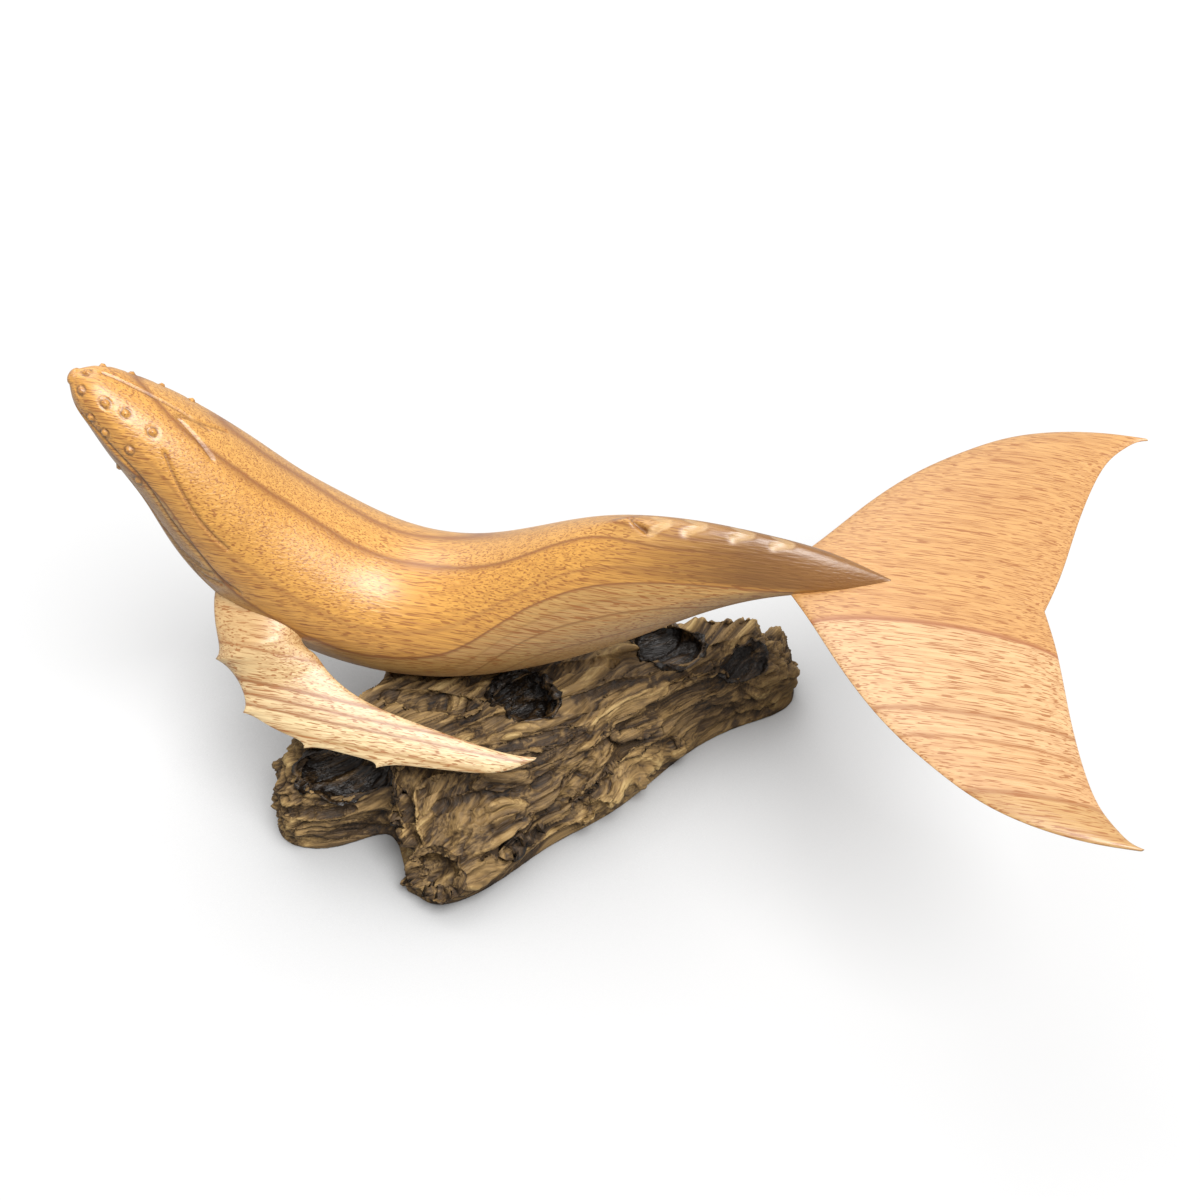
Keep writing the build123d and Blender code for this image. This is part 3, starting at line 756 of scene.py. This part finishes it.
def driftwood_base(material):
    """The base's solid, remeshed evenly, cracked and weathered, with painted shade marked in its hollows,
    cracks and valleys, and its underside kept flat.
    """
    obj = bpy.data.objects.new("driftwood_weathered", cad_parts["driftwood_base"].data.copy())
    bpy.context.collection.objects.link(obj)
    obj.modifiers.new("merge", "WELD").merge_threshold = 0.01 * MM
    remesh = obj.modifiers.new("even mesh", "REMESH")
    remesh.mode = "VOXEL"
    remesh.voxel_size = WOOD_VOXEL * MM
    soften = obj.modifiers.new("soft rims", "SMOOTH")
    soften.factor = 0.5
    soften.iterations = 6
    bake_modifiers(obj)
    # The hollows' walls get painted shade, and look wet
    store(obj, "hollow", hollow_share(vertex_places(obj)))
    # Cracks are cut, and marked for painted shade
    by_crack = carving_tree("open cracks", "EDGES", "cut")
    kinds = [(CRACKS, CRACK_WIDTH, CRACK_DEPTH), (DEEP_CRACKS, DEEP_CRACK_WIDTH, DEEP_CRACK_DEPTH)]
    for cracks, width, depth in kinds:
        guide = guide_lines([surface_line(obj, crack) for crack in cracks])
        carve(obj, by_crack, guide, width, -depth, 0.0, 1.0, material)
    by_spur = carving_tree("root spur", "POINTS", "spur")
    carve(obj, by_spur, guide_points([SPUR]), SPUR_WIDTH, SPUR_HEIGHT, 0.0, 0.0, material)
    run_tree(obj, driftwood_tree(), {
        "Flow": FLOW_ANGLE, "Swell": SWELL_HEIGHT * MM, "Plate depth": PLATE_DEPTH * MM,
        "Ridge depth": RIDGE_DEPTH * MM, "Split depth": SPLIT_DEPTH * MM, "Thread depth": THREAD_DEPTH * MM,
        "Whale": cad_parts["whale_body"], "Fin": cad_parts["left_pectoral_fin"],
        "Material": material,
    })
    places = vertex_places(obj)
    places[:, 2] = np.maximum(places[:, 2], 0.0)
    obj.data.vertices.foreach_set("co", (places * MM).ravel())
    return obj


def surface_line(obj, line, count=40):
    """A smooth line through points in mm, laid on an object's surface."""
    bpy.context.view_layer.update()
    line = np.asarray(line, float)
    knots = chain_lengths(line)
    dense = spline(knots, line, np.linspace(0, knots[-1], count))
    return [np.array(obj.closest_point_on_mesh(Vector(point * MM))[1]) / MM for point in dense]


def vertex_places(obj):
    """An object's vertices in mm, one row each."""
    places = np.empty(len(obj.data.vertices) * 3)
    obj.data.vertices.foreach_get("co", places)
    return places.reshape(-1, 3) / MM


def store(obj, name, values):
    """Stores one number for each vertex under a name that the materials read."""
    attribute = obj.data.attributes.new(name, "FLOAT", "POINT")
    attribute.data.foreach_set("value", np.asarray(values, np.float32))


def hollow_share(places):
    """1 on the walls of the hollows, fading to 0 just outside their rims; it sets their painted shade and wet
    look.
    """
    share = np.zeros(len(places))
    for centre, radii in HOLLOWS:
        level = (((places - np.array(centre)) / np.array(radii)) ** 2).sum(1)
        share = np.maximum(share, np.clip((HOLLOW_RIM - level) / HOLLOW_FADE, 0, 1))
    return share


def body_rings(places):
    """Which growth ring shows at each point, counted up from the heartwood's lower edge."""
    x, y, z = places.T
    lines = (np.array(LOW_LINE), np.array(BACK_LINE))
    low, back = (spline(line[:, 0], line[:, 1:], x)[:, 0] for line in lines)
    rightward = BACK_SLANT * BACK_BLEND * np.logaddexp(0, (y - BACK_BLEND_Y) / BACK_BLEND)
    return LOW_LINE_RING + LINE_GAP * ((z - low) / (back - low) + rightward)


def amber_and_shade_share(places):
    """1 on the peduncle above the heartwood's lower edge, where the wood turns amber: partly darker
    heartwood, partly painted shade on its side and keel.
    """
    along = np.clip((places[:, 0] - AMBER_AND_SHADE_START) / AMBER_AND_SHADE_LENGTH, 0, 1)
    return along * np.clip((body_rings(places) - LOW_LINE_RING) / AMBER_AND_SHADE_EDGE, 0, 1)


def fluke_rings(places):
    """Distance from the pith of the log that the fluke was cut from. The pith lies towards the far lobe, so
    the near lobe turns paler: partly its outer wood, partly painted sheen.
    """
    return np.hypot(places[:, 1] - FLUKE_PITH_Y, places[:, 2] - FLUKE_PITH_Z)


def fin_flat(places):
    """Where points lie along and across the blade of their fin."""
    along, inward, _ = fin_axes()
    left = places * np.where(places[:, 1:2] > 0, np.array([[1.0, -1.0, 1.0]]), 1.0) - FIN_ORIGIN
    return np.column_stack([left @ along, left @ inward])


def fin_rings(places):
    """The fins' rings are near flat: they count outwards over the blade."""
    flat = fin_flat(places)
    return -flat[:, 1] - FIN_RING_DRIFT * flat[:, 0]


def fin_shoulder(places):
    """1 on the shoulder between the body and the fold, 0 on the blade."""
    return np.clip(-beyond_fold(fin_flat(places)) / FIN_FOLD_BLEND, 0, 1)


def linear(colour):
    """An sRGB hex colour as linear red, green, blue and alpha."""
    parts = [int(colour[i:i + 2], 16) / 255 for i in (1, 3, 5)]
    return [c / 12.92 if c <= 0.04045 else ((c + 0.055) / 1.055) ** 2.4 for c in parts] + [1.0]


def new_material(name):
    material = bpy.data.materials.new(name)
    material.use_nodes = True
    tree = material.node_tree
    tree.nodes.clear()
    shader = add(tree, "ShaderNodeBsdfPrincipled")
    add(tree, "ShaderNodeOutputMaterial", {"Surface": shader.outputs[0]})
    return material, tree, shader


def ramp(tree, factor, stops):
    """A colour ramp from (position, hex colour) pairs."""
    node = add(tree, "ShaderNodeValToRGB", {0: factor})
    elements = node.color_ramp.elements
    for end, (position, colour) in ((0, stops[0]), (1, stops[-1])):
        elements[end].position = position
        elements[end].color = linear(colour)
    for position, colour in stops[1:-1]:
        elements.new(position).color = linear(colour)
    return node.outputs["Color"]


def mixed(tree, share, first, second):
    """Colour one turned into colour two by a share; each is a socket or a hex colour."""
    colours = [linear(c) if isinstance(c, str) else c for c in (first, second)]
    node = add(tree, "ShaderNodeMix", {0: share, 6: colours[0], 7: colours[1]}, data_type="RGBA")
    return node.outputs[2]


def stretched_noise(tree, place, sizes_mm, detail=1.0):
    """Noise with its own size in mm along each axis."""
    scale = [1 / (size * MM) for size in sizes_mm]
    scaled = add(tree, "ShaderNodeMapping", {"Vector": place, "Scale": scale})
    noise = add(tree, "ShaderNodeTexNoise", {"Vector": scaled.outputs[0], "Scale": 1.0, "Detail": detail})
    return noise.outputs[0]


def between(tree, value, low, high, top=1.0):
    """A value as a share of the way from low to high."""
    return add(tree, "ShaderNodeMapRange", {0: value, 1: low, 2: high, 3: 0.0, 4: top}).outputs[0]


def ring_stops(wood, zones):
    """Ramp stops for growth rings: each line is thin and dark, with a soft darker tone on its inner side."""
    stops = [(0.0, wood)]
    for ring, line, beyond in zones:
        marks = [(-RING_HALO, wood), (-RING_LINE, line), (RING_LINE, line), (RING_EDGE, beyond)]
        stops += [((ring + off) / RING_REACH, tone) for off, tone in marks]
        wood = beyond
    return stops


def varnished_hardwood(name, wood, zones):
    """Golden hardwood under satin varnish: a few thin growth rings cut by the carving, dark pore
    dashes along the grain, and broad highlights that the fibres break into streaks."""
    material, tree, shader = new_material(name)
    place = add(tree, "ShaderNodeTexCoord").outputs["Object"]
    ring = add(tree, "ShaderNodeAttribute", attribute_name="ring").outputs["Fac"]
    wander = stretched_noise(tree, place, WANDER_SIZE, 3.0)
    shifted = add(tree, "ShaderNodeMath", {0: wander, 1: WANDER_REACH, 2: ring},
                  operation="MULTIPLY_ADD").outputs[0]
    share = add(tree, "ShaderNodeMath", {0: shifted, 1: 1 / RING_REACH}, operation="MULTIPLY").outputs[0]
    figure = ramp(tree, share, ring_stops(wood, zones))
    streaks = between(tree, stretched_noise(tree, place, STREAK_SIZE, 3.0), 0.4, 0.72, STREAK_TINT)
    grown = mixed(tree, streaks, figure, PORE_COLOUR)
    fibres = stretched_noise(tree, place, FIBRE_SIZE, 2.0)
    pores = stretched_noise(tree, place, PORE_SIZE, 0.0)
    grown = mixed(tree, between(tree, pores, 0.59, 0.65, PORE_TINT), grown, PORE_COLOUR)
    # Amber on the peduncle: partly darker heartwood, partly painted shade
    amber = add(tree, "ShaderNodeAttribute", attribute_name="amber").outputs["Fac"]
    grown = mixed(tree, between(tree, amber, 0.0, 1.0, AMBER_AND_SHADE_TINT), grown, AMBER_AND_SHADE_COLOUR)
    shoulder = add(tree, "ShaderNodeAttribute", attribute_name="shoulder").outputs["Fac"]
    grown = mixed(tree, between(tree, shoulder, 0.0, 1.0, SHOULDER_TINT), grown, SHOULDER_COLOUR)
    # Painted highlight on the facets of the knuckle chips
    chip = add(tree, "ShaderNodeAttribute", attribute_name="chip").outputs["Fac"]
    grown = mixed(tree, between(tree, chip, 0.1, 0.6, CHIP_HIGHLIGHT_TINT), grown, CHIP_HIGHLIGHT_COLOUR)
    # Painted shade in the carved grooves, the dorsal notch and the rings round the knobs
    cut = add(tree, "ShaderNodeAttribute", attribute_name="cut").outputs["Fac"]
    grown = mixed(tree, between(tree, cut, 0.25, 1.0, CUT_SHADE_TINT), grown, CUT_SHADE_COLOUR)
    tree.links.new(grown, shader.inputs["Base Color"])
    shader.inputs["Roughness"].default_value = 0.42
    shader.inputs["Coat Weight"].default_value = 0.6
    shader.inputs["Coat Roughness"].default_value = 0.36
    bump = add(tree, "ShaderNodeBump", {"Height": fibres, "Strength": 0.6, "Distance": FIBRE_RISE * MM})
    tree.links.new(bump.outputs[0], shader.inputs["Normal"])
    return material


def weathered_root_wood():
    """Old root wood with a thin sealer: pale ridges and brown flanks, painted shade that darkens the valleys
    and cracks to near black, fine fibres along the grain, and hollows with painted shade that look wet."""
    material, tree, shader = new_material("weathered root wood")
    place = add(tree, "ShaderNodeTexCoord").outputs["Object"]
    turned = add(tree, "ShaderNodeMapping", {"Vector": place, "Rotation": (0, 0, -FLOW_ANGLE)}).outputs[0]
    flow = winding_grain(tree, turned)
    fibres = stretched_noise(tree, flow, (60, 1.2, 1.2), 3.0)
    patches = between(tree, stretched_noise(tree, flow, (60, 16, 16), 5.0), 0.0, 1.0, 0.8)
    cut = add(tree, "ShaderNodeAttribute", attribute_name="cut").outputs["Fac"]
    hollow = add(tree, "ShaderNodeAttribute", attribute_name="hollow").outputs["Fac"]
    level = add(tree, "ShaderNodeMath", {0: fibres, 1: 1.1, 2: patches}, operation="MULTIPLY_ADD").outputs[0]
    # Painted shade: the cracks, valleys and hollows darken the wood
    level = add(tree, "ShaderNodeMath", {0: cut, 1: -0.7, 2: level}, operation="MULTIPLY_ADD").outputs[0]
    level = add(tree, "ShaderNodeMath", {0: hollow, 1: -0.4, 2: level}, operation="MULTIPLY_ADD").outputs[0]
    colour = ramp(tree, level, [
        (0.05, "#150d07"), (0.36, "#45331e"), (0.58, "#735b39"), (0.8, "#94774b"), (1.0, "#b39764"),
    ])
    tree.links.new(colour, shader.inputs["Base Color"])
    wet = add(tree, "ShaderNodeMapRange", {0: hollow, 1: 0.0, 2: 1.0, 3: 0.66, 4: 0.36}).outputs[0]
    tree.links.new(wet, shader.inputs["Roughness"])
    threads = stretched_noise(tree, flow, (22, 0.7, 0.7), 2.0)
    bump = add(tree, "ShaderNodeBump", {"Height": threads, "Strength": 0.8, "Distance": 0.8 * MM})
    tree.links.new(bump.outputs[0], shader.inputs["Normal"])
    shader.inputs["Specular IOR Level"].default_value = 0.35
    return material


def plain_dowel_wood():
    """Pale turned dowel, dull and even."""
    material, _, shader = new_material("plain dowel beech")
    shader.inputs["Base Color"].default_value = linear("#cfae82")
    shader.inputs["Roughness"].default_value = 0.55
    return material


def dress(obj, material):
    obj.data.materials.clear()
    obj.data.materials.append(material)


def build_whale():
    golden = varnished_hardwood("golden hardwood, satin varnish", BODY_WOOD, BODY_ZONES)
    tan = varnished_hardwood("pinkish hardwood, satin varnish", FLUKE_WOOD, FLUKE_ZONES)
    cream = varnished_hardwood("sapwood, satin varnish", FIN_WOOD, FIN_ZONES)
    body = whale_body()
    store(body, "ring", body_rings(vertex_places(body)))
    # Amber share: partly darker heartwood, partly painted shade on the peduncle
    store(body, "amber", amber_and_shade_share(vertex_places(body)))
    dress(body, golden)
    carve_body(body, golden)
    fluke = tail_fluke()
    store(fluke, "ring", fluke_rings(vertex_places(fluke)))
    dress(fluke, tan)
    left_fin = pectoral_fin("whale_left_fin", 1.0)
    right_fin = pectoral_fin("whale_right_fin", -1.0)
    for fin in (left_fin, right_fin):
        store(fin, "ring", fin_rings(vertex_places(fin)))
        store(fin, "shoulder", fin_shoulder(vertex_places(fin)))
        dress(fin, cream)
    pairs = [
        (body, "whale_body"), (fluke, "tail_fluke"),
        (left_fin, "left_pectoral_fin"), (right_fin, "right_pectoral_fin"),
    ]
    for obj, node in pairs:
        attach(obj, "whale")
        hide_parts(node)


def build_base():
    base = driftwood_base(weathered_root_wood())
    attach(base, "base")
    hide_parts("driftwood_base")
    beech = plain_dowel_wood()
    for name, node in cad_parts.items():
        if name.endswith("dowel") or name.endswith("peg"):
            dress(node, beech)


def set_camera():
    back = np.array([
        math.sin(CAMERA_AZIMUTH) * math.cos(CAMERA_ELEVATION),
        -math.cos(CAMERA_AZIMUTH) * math.cos(CAMERA_ELEVATION),
        math.sin(CAMERA_ELEVATION),
    ])
    right = np.array([math.cos(CAMERA_AZIMUTH), math.sin(CAMERA_AZIMUTH), 0.0])
    up = np.cross(back, right)
    lens = bpy.data.cameras.new("photo_camera")
    lens.sensor_width = SENSOR_WIDTH
    lens.lens = SENSOR_WIDTH * CAMERA_DISTANCE / (MM_PER_PIXEL * PHOTO_PIXELS)
    camera = bpy.data.objects.new("photo_camera", lens)
    pose = np.eye(4)
    pose[:3, :3] = np.column_stack([right, up, back])
    pose[:3, 3] = (LOOK_AT + back * CAMERA_DISTANCE) * MM
    camera.matrix_world = Matrix(pose.tolist())
    bpy.context.collection.objects.link(camera)
    bpy.context.scene.camera = camera


def window_light(name, direction, spread, strength):
    """Even light from one direction, soft by the angle that it spreads over."""
    lamp = bpy.data.lights.new(name, "SUN")
    lamp.energy = strength
    lamp.angle = math.radians(spread)
    obj = bpy.data.objects.new(name, lamp)
    obj.rotation_euler = Vector(direction).to_track_quat("Z", "Y").to_euler()
    bpy.context.collection.objects.link(obj)


def white_sweep():
    """White paper for the camera, with a soft shadow that darkens where the object stands close;
    dull for other rays, so the undersides stay dark."""
    paper = bpy.data.materials.new("white paper sweep")
    paper.use_nodes = True
    tree = paper.node_tree
    tree.nodes.clear()
    close = add(tree, "ShaderNodeAmbientOcclusion", {"Distance": CONTACT_SHADOW * MM}, samples=8)
    shade = between(tree, close.outputs["AO"], 0.3, 0.97)
    dull = add(tree, "ShaderNodeBsdfDiffuse", {"Color": (FLOOR_DULL, FLOOR_DULL, FLOOR_DULL, 1)})
    white = add(tree, "ShaderNodeBsdfDiffuse", {"Color": (FLOOR_WHITE, FLOOR_WHITE, FLOOR_WHITE, 1)})
    glow = add(tree, "ShaderNodeEmission", {"Color": (1, 1, 1, 1), "Strength": shade})
    lit = add(tree, "ShaderNodeMixShader", {0: FLOOR_GLOW, 1: white.outputs[0], 2: glow.outputs[0]})
    path = add(tree, "ShaderNodeLightPath")
    seen = add(tree, "ShaderNodeMixShader", {
        0: path.outputs["Is Camera Ray"], 1: dull.outputs[0], 2: lit.outputs[0],
    })
    add(tree, "ShaderNodeOutputMaterial", {"Surface": seen.outputs[0]})
    return paper


def set_stage():
    """A white floor, and a surround that lights from overhead and that camera and varnish see as white."""
    corners = [(x * FLOOR_SIZE, y * FLOOR_SIZE, 0) for x, y in ((-1, -1), (1, -1), (1, 1), (-1, 1))]
    floor = mesh_object("floor", corners, [], [(0, 1, 2, 3)])
    dress(floor, white_sweep())
    world = bpy.data.worlds.new("white surround")
    world.use_nodes = True
    tree = world.node_tree
    tree.nodes.clear()
    way = add(tree, "ShaderNodeSeparateXYZ", {0: add(tree, "ShaderNodeTexCoord").outputs["Generated"]})
    overhead = add(tree, "ShaderNodeMapRange", {
        "Value": way.outputs["Z"], "From Min": 0.0, "From Max": 0.9,
        "To Min": HORIZON_STRENGTH, "To Max": OVERHEAD_STRENGTH,
    }, interpolation_type="SMOOTHSTEP")
    path = add(tree, "ShaderNodeLightPath")
    seen = add(tree, "ShaderNodeMath", {0: path.outputs["Is Camera Ray"], 1: path.outputs["Is Glossy Ray"]},
               operation="MAXIMUM")
    strength = add(tree, "ShaderNodeMix", {0: seen.outputs[0], 2: overhead.outputs[0], 3: 1.0})
    ground = add(tree, "ShaderNodeBackground", {"Color": (1, 1, 1, 1), "Strength": strength.outputs[0]})
    add(tree, "ShaderNodeOutputWorld", {"Surface": ground.outputs[0]})
    bpy.context.scene.world = world
    window_light("ceiling light", (0.3, -0.25, 0.92), spread=35.0, strength=4.2)
    window_light("window behind", (-0.35, 0.55, 0.75), spread=40.0, strength=1.2)
    bpy.context.scene.view_settings.view_transform = "Standard"


build_whale()
build_base()
set_camera()
set_stage()
